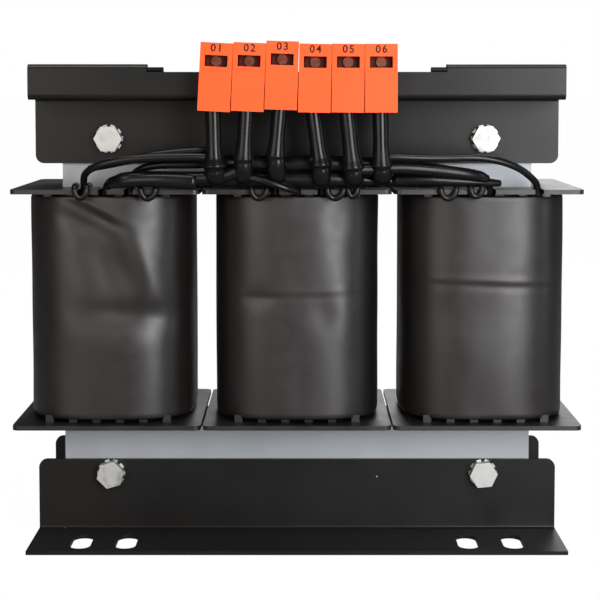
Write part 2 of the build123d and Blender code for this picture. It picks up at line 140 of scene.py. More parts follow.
def carried_normals(tangent):
    """Directions across a line, carried along it: each is the one before less its part along the
    tangent, so that they don't twist."""
    start = np.cross(tangent[0], np.eye(3)[np.argmin(np.abs(tangent[0]))])
    normals = [start / np.linalg.norm(start)]
    for direction in tangent[1:]:
        following = normals[-1] - (normals[-1] @ direction) * direction
        normals.append(following / np.linalg.norm(following))
    return np.array(normals)


def swept_tube(name, points, radii, sides=20, flatten=None, per_point=10):
    """A closed tube whose centre follows smooth_path and whose radius follows the same spline over
    radii. Ring point = centre + r (cos a * normal + sin a * binormal), with frames carried along."""
    line = smooth_path(np.column_stack([points, radii]), per_point)
    centre, radius = line[:, :3], line[:, 3]
    tangent = np.gradient(centre, axis=0)
    tangent /= np.linalg.norm(tangent, axis=1, keepdims=True)
    normal = carried_normals(tangent)
    binormal = np.cross(tangent, normal)
    angle = np.linspace(0, 2 * math.pi, sides, endpoint=False)
    across = radius if flatten is None else radius * flatten
    ring = (
        np.cos(angle)[None, :, None] * normal[:, None] * radius[:, None, None]
        + np.sin(angle)[None, :, None] * binormal[:, None] * across[:, None, None]
    )
    rows = len(centre)
    vertices = np.vstack([(centre[:, None] + ring).reshape(-1, 3), centre[:1], centre[-1:]])
    faces = grid_faces(rows, sides, True).tolist()
    first, last = rows * sides, rows * sides + 1
    faces += [[first, (j + 1) % sides, j] for j in range(sides)]
    base = (rows - 1) * sides
    faces += [[last, base + j, base + (j + 1) % sides] for j in range(sides)]
    return mesh_piece(name, vertices, faces)


def add_modifier(piece, kind, **values):
    modifier = piece.modifiers.new(kind.lower(), kind)
    for key, value in values.items():
        setattr(modifier, key, value)
    return modifier


def dressed(slot):
    """The material made for a slot of the record."""
    return bpy.data.materials[f"{slot}_finish"]


def finish_piece(piece, material, slot, *replaced):
    """Gives a new piece its material and its place on the body; its slot is not used."""
    piece.data.materials.append(material)
    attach(piece, "root")
    if replaced:
        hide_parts(*replaced)


# Shader groups ------------------------------------------------------------------------
def shader_group(name, inputs, outputs):
    """A new node group with the given float or vector inputs and float outputs."""
    group = bpy.data.node_groups.new(name, "ShaderNodeTree")
    for label, kind, default in inputs:
        socket = group.interface.new_socket(name=label, in_out="INPUT", socket_type=kind)
        if default is not None:
            socket.default_value = default
    for label in outputs:
        group.interface.new_socket(name=label, in_out="OUTPUT", socket_type="NodeSocketFloat")
    source = group.nodes.new("NodeGroupInput")
    sink = group.nodes.new("NodeGroupOutput")
    return group, source, sink


def math_node(tree, operation, a, b=None):
    node = tree.nodes.new("ShaderNodeMath")
    node.operation = operation
    for index, value in enumerate((a, b)):
        if value is None:
            continue
        if isinstance(value, (int, float)):
            node.inputs[index].default_value = value
        else:
            tree.links.new(value, node.inputs[index])
    return node.outputs[0]


def grain_group():
    """Fine and coarse noise: Variation is slow blotches, Height is the fine texture."""
    group, source, sink = shader_group(
        "surface_grain",
        [
            ("Vector", "NodeSocketVector", None),
            ("Coarse Scale", "NodeSocketFloat", 40.0),
            ("Fine Scale", "NodeSocketFloat", 1800.0),
        ],
        ["Variation", "Height"],
    )
    for label, output, detail in (("Coarse Scale", "Variation", 3.0), ("Fine Scale", "Height", 2.0)):
        noise = group.nodes.new("ShaderNodeTexNoise")
        noise.inputs["Detail"].default_value = detail
        group.links.new(source.outputs["Vector"], noise.inputs["Vector"])
        group.links.new(source.outputs[label], noise.inputs["Scale"])
        group.links.new(noise.outputs["Fac"], sink.inputs[output])
    return group


def speck_group():
    """Small bright specks: Mask is 1 inside scattered cells' centres."""
    group, source, sink = shader_group(
        "dust_specks",
        [
            ("Vector", "NodeSocketVector", None),
            ("Scale", "NodeSocketFloat", 160.0),
            ("Size", "NodeSocketFloat", 0.09),
            ("Share", "NodeSocketFloat", 0.25),
        ],
        ["Mask"],
    )
    cells = group.nodes.new("ShaderNodeTexVoronoi")
    group.links.new(source.outputs["Vector"], cells.inputs["Vector"])
    group.links.new(source.outputs["Scale"], cells.inputs["Scale"])
    near = math_node(group, "LESS_THAN", cells.outputs["Distance"], source.outputs["Size"])
    split = group.nodes.new("ShaderNodeSeparateColor")
    group.links.new(cells.outputs["Color"], split.inputs[0])
    chosen = math_node(group, "LESS_THAN", split.outputs[0], source.outputs["Share"])
    group.links.new(math_node(group, "MULTIPLY", near, chosen), sink.inputs["Mask"])
    return group


def sheet_edge_group():
    """The edges of stacked sheets along Y: Height dips at each joint, Shade varies from sheet to sheet."""
    group, source, sink = shader_group(
        "sheet_edges",
        [("Vector", "NodeSocketVector", None), ("Sheets per metre", "NodeSocketFloat", 2000.0)],
        ["Height", "Shade"],
    )
    split = group.nodes.new("ShaderNodeSeparateXYZ")
    group.links.new(source.outputs["Vector"], split.inputs[0])
    along = math_node(group, "MULTIPLY", split.outputs["Y"], source.outputs["Sheets per metre"])
    part = math_node(group, "FRACT", along)
    dip = math_node(group, "ABSOLUTE", math_node(group, "SUBTRACT", part, 0.5))
    group.links.new(math_node(group, "GREATER_THAN", 0.38, dip), sink.inputs["Height"])
    sheet = math_node(group, "FLOOR", along)
    noise = group.nodes.new("ShaderNodeTexWhiteNoise")
    noise.noise_dimensions = "1D"
    group.links.new(sheet, noise.inputs["W"])
    group.links.new(noise.outputs["Value"], sink.inputs["Shade"])
    return group


# Materials ----------------------------------------------------------------------------
class Finish:
    """A material under construction: its node tree, its shader and its object coordinates."""

    def __init__(self, name, roughness, metallic=0.0, specular=0.5):
        self.material = bpy.data.materials.new(f"{name}_finish")
        self.material.use_nodes = True
        self.tree = self.material.node_tree
        self.shader = self.tree.nodes["Principled BSDF"]
        self.set("Roughness", roughness)
        self.set("Metallic", metallic)
        self.set("Specular IOR Level", specular)
        self.place = self.tree.nodes.new("ShaderNodeTexCoord").outputs["Object"]

    def set(self, socket, value):
        self.shader.inputs[socket].default_value = value

    def link(self, output, socket):
        self.tree.links.new(output, self.shader.inputs[socket])

    def group(self, name, **values):
        node = self.tree.nodes.new("ShaderNodeGroup")
        node.node_tree = bpy.data.node_groups[name]
        self.tree.links.new(self.place, node.inputs["Vector"])
        for key, value in values.items():
            node.inputs[key.replace("_", " ")].default_value = value
        return node

    def span(self, factor, low, high):
        """Maps a 0 to 1 factor to the range from low to high."""
        node = self.tree.nodes.new("ShaderNodeMapRange")
        self.tree.links.new(factor, node.inputs["Value"])
        node.inputs["From Min"].default_value = 0.3
        node.inputs["From Max"].default_value = 0.7
        node.inputs["To Min"].default_value = low
        node.inputs["To Max"].default_value = high
        return node.outputs["Result"]

    def blend(self, factor, first, second):
        """A colour between two, either of which may be another node's output."""
        node = self.tree.nodes.new("ShaderNodeMix")
        node.data_type = "RGBA"
        self.tree.links.new(factor, node.inputs["Factor"])
        for socket, value in ((node.inputs[6], first), (node.inputs[7], second)):
            if isinstance(value, bpy.types.NodeSocket):
                self.tree.links.new(value, socket)
            else:
                socket.default_value = (*value, 1.0)
        return node.outputs[2]

    def bump(self, *layers):
        """Stacks (height output, strength, distance) layers into the normal."""
        previous = None
        for height, strength, distance in layers:
            node = self.tree.nodes.new("ShaderNodeBump")
            node.inputs["Strength"].default_value = strength
            node.inputs["Distance"].default_value = distance
            self.tree.links.new(height, node.inputs["Height"])
            if previous:
                self.tree.links.new(previous, node.inputs["Normal"])
            previous = node.outputs["Normal"]
        self.link(previous, "Normal")


def shade(base, amount):
    return tuple(min(1.0, channel * amount) for channel in base)


def paint_finish(colours):
    """Semi-gloss black paint with a slight orange peel and a few dust specks."""
    finish = Finish("black_paint", 0.3, specular=0.2)
    grain = finish.group("surface_grain", Coarse_Scale=18.0, Fine_Scale=900.0)
    dust = finish.group("dust_specks", Scale=95.0, Size=0.035, Share=0.16)
    tone = finish.blend(grain.outputs["Variation"], shade(colours.paint, 0.8), shade(colours.paint, 1.35))
    finish.link(finish.blend(dust.outputs["Mask"], tone, (0.32, 0.31, 0.29)), "Base Color")
    finish.link(finish.span(grain.outputs["Variation"], 0.26, 0.38), "Roughness")
    finish.bump((grain.outputs["Height"], 0.12, 0.00006), (grain.outputs["Variation"], 0.3, 0.0008))
    return finish.material


def core_finish(colours):
    """Dull rolled steel: sheet edges as fine lines, with slow blotches."""
    finish = Finish("core_steel", 0.5, metallic=0.35)
    grain = finish.group("surface_grain", Coarse_Scale=22.0, Fine_Scale=700.0)
    edges = finish.group("sheet_edges", Sheets_per_metre=2000.0)
    tone = finish.blend(grain.outputs["Variation"], shade(colours.core, 0.82), shade(colours.core, 1.2))
    lined = finish.blend(edges.outputs["Shade"], tone, shade(colours.core, 0.9))
    finish.link(lined, "Base Color")
    finish.link(finish.span(grain.outputs["Variation"], 0.42, 0.58), "Roughness")
    finish.bump((edges.outputs["Height"], 0.5, 0.0001), (grain.outputs["Height"], 0.15, 0.00005))
    return finish.material


def housing_finish(colours):
    """Orange polyamide with a faint moulded texture."""
    finish = Finish("orange_plastic", 0.45, specular=0.22)
    grain = finish.group("surface_grain", Coarse_Scale=60.0, Fine_Scale=2600.0)
    low, high = shade(colours.housing, 0.93), shade(colours.housing, 1.04)
    tone = finish.blend(grain.outputs["Variation"], low, high)
    finish.link(tone, "Base Color")
    finish.link(finish.span(grain.outputs["Variation"], 0.38, 0.5), "Roughness")
    finish.bump((grain.outputs["Height"], 0.2, 0.00004))
    return finish.material


def film_finish(colours):
    """Satin film: warm and cool patches and a fine uneven texture."""
    finish = Finish("wrap_film", 0.4, specular=0.52)
    grain = finish.group("surface_grain", Coarse_Scale=14.0, Fine_Scale=420.0)
    fibre = finish.group("surface_grain", Coarse_Scale=130.0, Fine_Scale=1500.0)
    tone = finish.blend(grain.outputs["Variation"], colours.film, colours.film_warm)
    finish.link(tone, "Base Color")
    finish.link(finish.span(fibre.outputs["Variation"], 0.36, 0.44), "Roughness")
    finish.bump((fibre.outputs["Height"], 0.1, 0.00005), (fibre.outputs["Variation"], 0.12, 0.0004))
    return finish.material


def dark_finish(name, base, roughness, specular, fine_scale):
    """Black plastic or rubber with a fine texture."""
    finish = Finish(name, roughness, specular=specular)
    grain = finish.group("surface_grain", Coarse_Scale=70.0, Fine_Scale=fine_scale)
    finish.link(finish.blend(grain.outputs["Variation"], shade(base, 0.7), shade(base, 1.4)), "Base Color")
    finish.link(finish.span(grain.outputs["Variation"], roughness * 0.8, roughness * 1.25), "Roughness")
    finish.bump((grain.outputs["Height"], 0.15, 0.00006))
    return finish.material


def metal_finish(name, base, roughness):
    """Bright plating with slight blotches and fine turning marks."""
    finish = Finish(name, roughness, metallic=1.0)
    grain = finish.group("surface_grain", Coarse_Scale=240.0, Fine_Scale=2400.0)
    finish.link(finish.blend(grain.outputs["Variation"], shade(base, 0.8), shade(base, 1.1)), "Base Color")
    finish.link(finish.span(grain.outputs["Variation"], roughness * 0.7, roughness * 1.5), "Roughness")
    finish.bump((grain.outputs["Height"], 0.2, 0.00005))
    return finish.material


def make_materials(colours):
    """One material for each slot of the record, by slot name."""
    grain_group()
    speck_group()
    sheet_edge_group()
    return {
        "core_steel": core_finish(colours),
        "black_paint": paint_finish(colours),
        "zinc": metal_finish("zinc", colours.zinc, 0.5),
        "orange_plastic": housing_finish(colours),
        # Painted shade: the terminal screws are metal, but their dark red-brown colour paints the shade
        # inside the orange terminal windows.
        "terminal_metal": metal_finish("terminal_metal", (0.13, 0.045, 0.03), 0.4),
        # Painted shade: the clamps' dark maroon stands for the shaded inside of the orange terminal
        # windows, not for their own colour.
        "clamp_cage": dark_finish("clamp_cage", (0.05, 0.007, 0.004), 0.5, 0.12, 1500.0),
        "bobbin_plastic": dark_finish("bobbin_plastic", colours.plastic, 0.38, 0.5, 1400.0),
        "insulation_paper": dark_finish("insulation_paper", (0.5, 0.42, 0.28), 0.7, 0.3, 1200.0),
        "copper": metal_finish("copper", (0.72, 0.34, 0.2), 0.35),
        "wrap_film": film_finish(colours),
        "sleeve": dark_finish("sleeve", colours.rubber, 0.24, 0.22, 900.0),
        "lead_cover": dark_finish("lead_cover", colours.rubber, 0.28, 0.24, 1100.0),
    }


# Coil film ----------------------------------------------------------------------------
def coil_ring(half_width, half_depth, power, count):
    """Points at equal steps round the closed line |x / half_width|^power + |y / half_depth|^power = 1,
    and the outward direction at each. A higher power makes squarer corners."""
    turn = np.linspace(0, 2 * math.pi, 2401)
    across, deep = np.cos(turn), np.sin(turn)
    line = np.column_stack([
        half_width * np.sign(across) * np.abs(across) ** (2 / power),
        half_depth * np.sign(deep) * np.abs(deep) ** (2 / power),
    ])
    steps = np.concatenate([[0], np.cumsum(np.linalg.norm(np.diff(line, axis=0), axis=1))])
    wanted = np.linspace(0, steps[-1], count, endpoint=False)
    ring = np.column_stack([np.interp(wanted, steps, line[:, i]) for i in (0, 1)])
    along = np.roll(ring, -1, axis=0) - np.roll(ring, 1, axis=0)
    outward = np.column_stack([along[:, 1], -along[:, 0]])
    return ring, outward / np.linalg.norm(outward, axis=1, keepdims=True)


def hollow(x, z, centre, size, turn=0.0):
    """exp(-(p/a)^2 - (q/b)^2), a smooth spot with half sizes a and b along axes turned by turn degrees."""
    angle = math.radians(turn)
    dx, dz = x - centre[0], z - centre[1]
    p = dx * math.cos(angle) + dz * math.sin(angle)
    q = -dx * math.sin(angle) + dz * math.cos(angle)
    return np.exp(-((p / size[0]) ** 2) - (q / size[1]) ** 2)


def crease(x, z, centre, size, turn=0.0):
    """q/b exp(-(p/a)^2 - (q/b)^2), a step: proud on the side of positive q, sunk on the other."""
    angle = math.radians(turn)
    dx, dz = x - centre[0], z - centre[1]
    p = (dx * math.cos(angle) + dz * math.sin(angle)) / size[0]
    q = (-dx * math.sin(angle) + dz * math.cos(angle)) / size[1]
    return q * np.exp(-(p**2) - q**2)


def left_dents(x, z):
    """Share of the dent depth over the left coil's front: a fold that runs down to a hollow."""
    dent = -0.62 * hollow(x, z, (10.0, 119.5), (19.0, 7.0), -5)
    dent += 0.12 * hollow(x, z, (4.0, 106.0), (20.0, 10.0), -4)
    dent += 0.50 * hollow(x, z, (17.0, 149.0), (9.0, 28.0), 26)
    dent -= 0.75 * hollow(x, z, (3.0, 146.0), (12.0, 27.0), 24)
    dent -= 0.22 * hollow(x, z, (28.0, 120.0), (7.0, 9.0), 20)
    dent += 0.60 * crease(x, z, (-5.0, 174.5), (13.0, 3.0), -27)
    dent -= 0.35 * hollow(x, z, (-13.0, 168.0), (13.0, 5.0), -24)
    return dent


def middle_dents(x, z):
    """Shallow dimples and a faint crease across the middle coil."""
    dent = -0.24 * hollow(x, z, (-20.0, 129.0), (9.0, 5.0), 0)
    dent -= 0.22 * hollow(x, z, (15.0, 120.0), (8.0, 11.0), 15)
    dent += 0.14 * hollow(x, z, (24.0, 116.0), (8.0, 14.0), 10)
    dent += 0.085 * crease(x, z, (-4.0, 130.5), (34.0, 2.6), 1)
    dent -= 0.16 * hollow(x, z, (24.0, 172.0), (7.0, 9.0), -20)
    return dent


def right_dents(x, z):
    """A crease across the right coil, with a shallow hollow under its left end."""
    dent = 0.20 * crease(x, z, (2.0, 136.5), (32.0, 2.6), -2)
    dent -= 0.16 * hollow(x, z, (-18.0, 122.0), (14.0, 12.0), 10)
    dent += 0.12 * hollow(x, z, (6.0, 100.0), (16.0, 22.0), 0)
    return dent


DENTS = {"left": left_dents, "middle": middle_dents, "right": right_dents}
WAVE_PHASE = {"left": 0.4, "middle": 2.1, "right": 4.0}
FILM_COLUMNS, FILM_ROWS = 260, 150
FILM_INSET = 0.25
TUCK = 0.35
TUCK_SHARE = 0.018
WINDING_COLUMNS = 120


def coil_film(side, sizes):
    """The film round one coil: the coil ring at each height, moved along its outward direction by
    the dents on its front, by two slow waves sin(k angle) sin(m height), and inward by TUCK at its
    upper and lower edges, which are the first TUCK_SHARE of its height."""
    low, high = (np.array(corner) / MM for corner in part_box(f"coil_wrap_{side}"))
    centre = (low + high) / 2
    half = (high - low) / 2
    count, rows = FILM_COLUMNS, FILM_ROWS
    ring, outward = coil_ring(half[0] - FILM_INSET, half[1] - FILM_INSET, sizes.coil_roundness, count)
    bottom = low[2] - sizes.film_reach / MM
    z = np.linspace(bottom, high[2], rows)
    share = (z - bottom) / (high[2] - bottom)
    x = ring[None, :, 0]
    zz = z[:, None]
    front = np.clip(-outward[None, :, 1] * 1.6, 0, 1) ** 1.5
    move = sizes.dent_depth / MM * DENTS[side](x, zz) * front
    phase = WAVE_PHASE[side]
    around = np.arange(count)[None, :] / count * 2 * math.pi
    move = move + 0.16 * np.sin(3 * around + phase + 0.02 * zz) * np.sin(0.045 * zz + phase)
    move = move + 0.09 * np.sin(9 * around + 2 * phase) * np.sin(0.11 * zz + 3 * phase)
    edge = np.minimum(share, 1 - share)[:, None]
    fade = np.clip(edge / TUCK_SHARE, 0, 1)
    fade = fade * fade * (3 - 2 * fade)
    move = move * fade - TUCK * (1 - fade)
    points = np.empty((rows, count, 3))
    points[:, :, 0] = centre[0] + x + outward[None, :, 0] * move
    points[:, :, 1] = centre[1] + ring[None, :, 1] + outward[None, :, 1] * move
    points[:, :, 2] = zz
    piece = mesh_piece(f"coil_film_{side}", points.reshape(-1, 3) * MM, grid_faces(rows, count, True))
    add_modifier(piece, "SOLIDIFY", thickness=sizes.film_thick, offset=-1.0)
    return piece


def winding(side, sizes):
    """The outer winding as a closed ring: at each point round the coil ring, a section that goes up
    the outside, in over the top, down the inside and out under the bottom. The outside is ribbed by
    ridge |sin| of the height, one ridge for each turn of wire."""
    low, high = (np.array(corner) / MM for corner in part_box(f"secondary_winding_{side}"))
    inner_low, inner_high = (np.array(corner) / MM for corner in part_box(f"winding_insulation_{side}"))
    centre = (low + high) / 2
    half = (high - low) / 2
    inner = (inner_high - inner_low) / 2
    gap = sizes.film_gap / MM
    count = WINDING_COLUMNS
    outside, _ = coil_ring(half[0] - gap, half[1] - 1.45 * gap, sizes.coil_roundness + 0.8, count)
    inside, _ = coil_ring(inner[0], inner[1], 7.0, count)
    wire = sizes.wire_pitch / MM
    steps = int((high[2] - low[2]) / wire) * 3
    height = np.linspace(0, 1, steps)
    ridge = 0.12 * np.abs(np.sin(height * (high[2] - low[2]) / wire * math.pi))
    turns = np.arange(1, 9) / 9
    share = np.concatenate([ridge * 0 + 1, 1 - turns, turns])
    level = np.concatenate([height, turns * 0 + 1, turns * 0])
    swell = np.concatenate([ridge, turns * 0, turns * 0])
    plane = inside[None] + (outside - inside)[None] * share[:, None, None]
    plane = plane * (1 + swell[:, None, None] / half[0])
    points = np.empty((len(share), count, 3))
    points[:, :, :2] = centre[:2] + plane
    points[:, :, 2] = (low[2] + level * (high[2] - low[2]))[:, None]
    faces = grid_faces(len(share), count, True)
    last = (len(share) - 1) * count
    j = np.arange(count)
    closing = np.stack([last + j, last + (j + 1) % count, (j + 1) % count, j], -1)
    return mesh_piece(f"winding_{side}", points.reshape(-1, 3) * MM, np.vstack([faces, closing]))


# Leads --------------------------------------------------------------------------------
# The leads' routes and, at each point of a route, the radius over its cover, in millimetres.
LEADS = {
    "lead_1": (
        [
            (-43.4, -60.5, 206.0),
            (-43.8, -59.5, 202.8),
            (-49.0, -58.5, 203.4),
            (-62.0, -57.8, 203.3),
            (-77.0, -57.0, 203.0),
            (-92.0, -56.0, 201.6),
            (-104.0, -54.0, 198.6),
            (-110.6, -49.0, 194.5),
            (-111.6, -44.5, 189.0),
            (-111.5, -43.0, 182.0),
        ],
        (2.3, 2.3, 2.3, 2.3, 2.3, 2.25, 1.95, 1.85, 1.85, 1.85),
    ),
    "lead_2": (
        [
            (-26.0, -60.5, 206.0),
            (-27.0, -59.5, 199.0),
            (-33.0, -58.0, 194.3),
            (-46.0, -56.0, 192.2),
            (-60.0, -55.0, 192.2),
            (-76.0, -54.5, 192.6),
            (-90.0, -53.5, 192.2),
            (-93.5, -51.5, 191.8),
            (-99.5, -46.5, 189.8),
            (-101.0, -43.5, 182.0),
        ],
        (3.0, 3.2, 3.5, 3.6, 3.6, 3.6, 3.4, 1.9, 1.85, 1.85),
    ),
    "lead_3": (
        [
            (-9.0, -60.5, 206.0),
            (-9.6, -58.0, 197.0),
            (-11.0, -49.5, 194.5),
            (-11.5, -44.0, 190.0),
            (-11.5, -43.0, 182.0),
        ],
        (3.2, 3.4, 2.6, 1.9, 1.85),
    ),
    "lead_4": (
        [
            (8.2, -60.5, 204.0),
            (10.5, -58.5, 194.0),
            (12.4, -52.0, 190.3),
            (13.0, -44.0, 189.0),
            (13.0, -43.0, 182.0),
        ],
        (3.2, 3.4, 2.8, 1.9, 1.85),
    ),
    "lead_5": (
        [
            (25.5, -60.5, 204.0),
            (27.0, -60.0, 197.5),
            (36.0, -59.0, 196.6),
            (48.6, -58.0, 198.0),
            (66.0, -56.5, 197.0),
            (84.0, -55.2, 195.0),
            (95.0, -52.0, 193.2),
            (98.0, -49.5, 192.2),
            (100.8, -45.5, 189.0),
            (101.0, -43.0, 182.0),
        ],
        (3.0, 3.3, 3.3, 3.3, 3.3, 3.2, 3.1, 1.9, 1.85, 1.85),
    ),
    "lead_6": (
        [
            (42.7, -60.5, 207.0),
            (43.0, -60.0, 202.8),
            (49.0, -60.5, 203.6),
            (60.0, -59.5, 202.9),
            (76.0, -58.0, 202.6),
            (93.0, -56.8, 203.2),
            (106.0, -54.8, 201.0),
            (116.0, -52.0, 197.0),
            (123.0, -47.5, 191.5),
            (126.0, -44.0, 188.0),
            (126.0, -43.0, 182.0),
        ],
        (2.6, 2.4, 1.9, 1.85, 1.85, 1.85, 1.85, 1.85, 1.85, 1.85, 1.85),
    ),
    "phase_link": (
        [
            (-87.5, -43.0, 182.0),
            (-87.5, -43.5, 191.0),
            (-83.0, -47.5, 196.5),
            (-72.0, -50.5, 199.3),
            (-56.0, -51.5, 199.2),
            (-39.0, -51.0, 199.8),
            (-28.0, -52.5, 195.2),
            (-18.0, -56.5, 191.0),
            (-8.0, -56.5, 189.4),
            (-1.0, -50.5, 189.0),
            (0.0, -44.0, 188.0),
            (0.0, -43.0, 182.0),
        ],
        (1.85, 1.85, 1.9, 2.2, 2.2, 2.2, 2.2, 2.0, 1.9, 1.85, 1.85, 1.85),
    ),
}

# Under each terminal, in millimetres: where the sleeve's flare ends, a point below it and the foot of
# the bundle, each as X and Z, and the radius of the flare.
SLEEVES = (
    ((-42.3, 198.5), (-42.2, 195.0), (-41.0, 189.5), 6.0),
    ((-27.4, 202.3), (-27.4, 197.0), (-27.6, 190.5), 5.0),
    ((-10.9, 204.0), (-10.6, 198.0), (-10.0, 190.6), 4.8),
    ((12.1, 199.3), (12.4, 194.5), (12.6, 188.8), 5.6),
    ((28.7, 197.8), (29.2, 193.5), (29.8, 188.9), 5.6),
    ((43.4, 198.9), (43.6, 194.5), (43.8, 189.8), 5.3),
)

# Loose black covers over and behind the leads: their routes and radii in millimetres.
COVERS = {
    "cover_behind_upper": (
        [
            (-48.0, -50.0, 199.0),
            (-32.0, -52.0, 201.0),
            (-12.0, -51.0, 198.6),
            (8.0, -52.5, 200.4),
            (28.0, -51.0, 198.8),
            (50.0, -51.5, 200.0),
        ],
        (3.4, 5.0, 5.4, 4.8, 5.2, 3.2),
    ),
    "cover_behind_lower": (
        [
            (-52.0, -48.5, 190.0),
            (-30.0, -52.0, 191.8),
            (-10.0, -50.0, 191.4),
            (12.0, -52.0, 191.8),
            (30.0, -50.5, 191.4),
            (54.0, -49.5, 190.4),
        ],
        (3.4, 5.2, 5.0, 5.2, 4.8, 3.2),
    ),
    "cover_left": (
        [
            (-44.0, -52.5, 206.5),
            (-60.0, -54.0, 206.0),
            (-78.0, -53.5, 203.6),
            (-96.0, -52.0, 199.4),
            (-108.0, -49.5, 197.0),
        ],
        (2.6, 2.7, 2.6, 2.4, 2.0),
    ),
    "cover_left_low": (
        [
            (-52.0, -56.5, 190.4),
            (-64.0, -57.0, 191.4),
            (-78.0, -56.2, 191.6),
            (-91.0, -54.0, 190.6),
            (-98.0, -50.0, 188.6),
        ],
        (4.3, 3.9, 3.6, 3.2, 2.2),
    ),
    "cover_right": (
        [
            (44.0, -53.0, 198.0),
            (58.0, -54.5, 198.4),
            (74.0, -54.5, 196.4),
            (90.0, -52.5, 193.4),
            (99.0, -50.0, 191.6),
        ],
        (4.0, 4.2, 3.9, 3.6, 2.6),
    ),
    "cover_right_low": (
        [
            (50.0, -50.5, 191.0),
            (64.0, -52.0, 191.6),
            (80.0, -51.5, 190.8),
            (98.0, -49.0, 189.8),
            (106.0, -47.0, 189.2),
        ],
        (4.2, 4.0, 3.6, 3.0, 2.0),
    ),
    "cover_middle": (
        [
            (-27.0, -57.5, 193.4),
            (-20.0, -60.0, 192.0),
            (-10.0, -60.5, 189.0),
            (-2.0, -58.5, 186.2),
            (1.0, -54.5, 185.2),
        ],
        (2.6, 2.3, 2.1, 2.0, 1.8),
    ),
}

# Lacing loops over the coils' upper edges: middle of each in X, how far it hangs and its half width.
LACING = (
    (-112.0, 2.2, 3.4),
    (-77.0, 2.6, 4.2),
    (-19.5, 2.4, 4.4),
    (20.0, 2.4, 4.6),
    (29.0, 1.2, 2.6),
    (78.5, 2.4, 4.4),
    (93.0, 1.2, 3.2),
)


def lacing_points(place, hang, half, edge, level):
    """A loop that lies on the flange, whose front edge is at edge and top at level, comes forward
    over that edge, hangs in front of it and goes back again."""
    front = edge - 1.9
    above = level + 1.9
    return [
        (place - half, edge + 9.0, above),
        (place - half, front, above + 0.6),
        (place - 0.8 * half, front - 0.4, level - 1.5 - 0.5 * hang),
        (place - 0.1 * half, front, level - 2.5 - hang),
        (place + 0.8 * half, front - 0.3, level - 1.2 - 0.6 * hang),
        (place + half, front, above + 0.8),
        (place + half, edge + 9.0, above),
    ]


def sleeve_piece(number):
    """A shrunk sleeve: narrow at the terminal, flared at its mouth, then the covered bundle, which
    rounds off and turns back towards the coil. Its section is a little flattened."""
    mouth, below, foot, wide = SLEEVES[number - 1]
    low, high = (np.array(corner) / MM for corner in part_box(f"lead_sleeve_{number}"))
    top_x = (low[0] + high[0]) / 2
    y = (low[1] + high[1]) / 2
    top = high[2] - 1.0
    drop = top - mouth[1]
    shares = (0.0, 0.22, 0.45, 0.66, 0.84, 0.96, 1.0)
    upper = [(top_x + (mouth[0] - top_x) * share, y, top - drop * share) for share in shares]
    upper_radii = (4.2, 4.2, 4.1, 4.1, 4.6, wide + 0.3, wide + 0.7)
    lower = [
        (mouth[0], y + 0.1, mouth[1] - 0.9),
        (below[0], y + 0.5, (mouth[1] + below[1]) / 2),
        (below[0], y + 1.2, below[1]),
        (foot[0], y + 3.2, foot[1] + 2.6),
        (foot[0], y + 6.5, foot[1] + 0.8),
        (foot[0], y + 9.5, foot[1] + 1.2),
    ]
    lower_radii = (4.7, 5.1, 5.2, 5.0, 3.6, 1.4)
    points = np.array([*upper, *lower]) * MM
    radii = np.array([*upper_radii, *lower_radii]) * MM
    return swept_tube(f"sleeve_{number}", points, radii, sides=40, flatten=0.92, per_point=14)


# Terminal numbers ---------------------------------------------------------------------
GLYPH_SIZE = 1.38
GLYPH_SPACING = 1.25
GLYPH_SWELL = 0.11 * MM
GLYPH_RAISE = 0.03 * MM
BELOW_HEAD = 4.4 * MM
OVER_SURFACE = 0.08 * MM
END_BAND = 1.6 * MM


def terminal_number(number, height):
    """A plain two-digit number on the slanted front of one terminal, above its window."""
    text = bpy.data.curves.new(f"number_{number}", "FONT")
    text.body = f"{number:02d}"
    text.size = height * GLYPH_SIZE
    text.align_x = "CENTER"
    text.space_character = GLYPH_SPACING
    text.extrude = GLYPH_RAISE
    text.offset = GLYPH_SWELL
    text.resolution_u = 4
    source = bpy.data.objects.new("number_source", text)
    bpy.context.scene.collection.objects.link(source)
    bpy.context.view_layer.update()
    mesh = bpy.data.meshes.new_from_object(source)
    bpy.data.objects.remove(source)
    node = NODES[f"terminal_housing_{number}"]
    points = np.empty(len(node.data.vertices) * 3)
    node.data.vertices.foreach_get("co", points)
    points = points.reshape(-1, 3)
    top = points[points[:, 2] > points[:, 2].max() - END_BAND]
    bottom = points[points[:, 2] < points[:, 2].min() + END_BAND]
    head = Vector(((top[:, 0].min() + top[:, 0].max()) / 2, top[:, 1].min(), top[:, 2].mean()))
    base = Vector(((bottom[:, 0].min() + bottom[:, 0].max()) / 2, bottom[:, 1].min(), bottom[:, 2].mean()))
    up = (head - base).normalized()
    right = Vector((1, 0, 0)) - up * up.x
    right.normalize()
    outward = right.cross(up)
    place = Matrix.Translation(head - up * BELOW_HEAD + outward * OVER_SURFACE)
    turn = Matrix((right, up, outward)).transposed().to_4x4()
    mesh.transform(place @ turn)
    piece = bpy.data.objects.new(f"terminal_number_{number}", mesh)
    bpy.context.scene.collection.objects.link(piece)
    return piece


# Studio -------------------------------------------------------------------------------
def camera_white(tree, ambient, mirrored):
    """Strength 1 for camera and transmission rays, mirrored for glossy rays, ambient for the rest."""
    path = tree.nodes.new("ShaderNodeLightPath")
    seen = math_node(tree, "MAXIMUM", path.outputs["Is Camera Ray"], path.outputs["Is Transmission Ray"])
    glossy = math_node(tree, "MULTIPLY", path.outputs["Is Glossy Ray"], mirrored - ambient)
    return math_node(tree, "MAXIMUM", seen, math_node(tree, "ADD", glossy, ambient))


def make_world():
    world = bpy.data.worlds.new("studio")
    world.use_nodes = True
    bpy.context.scene.world = world
    tree = world.node_tree
    background = tree.nodes["Background"]
    background.inputs["Color"].default_value = (1, 1, 1, 1)
    tree.links.new(camera_white(tree, AMBIENT, MIRRORED), background.inputs["Strength"])


FLOOR_HALF = 60.0
AMBIENT, MIRRORED = 0.4, 0.05


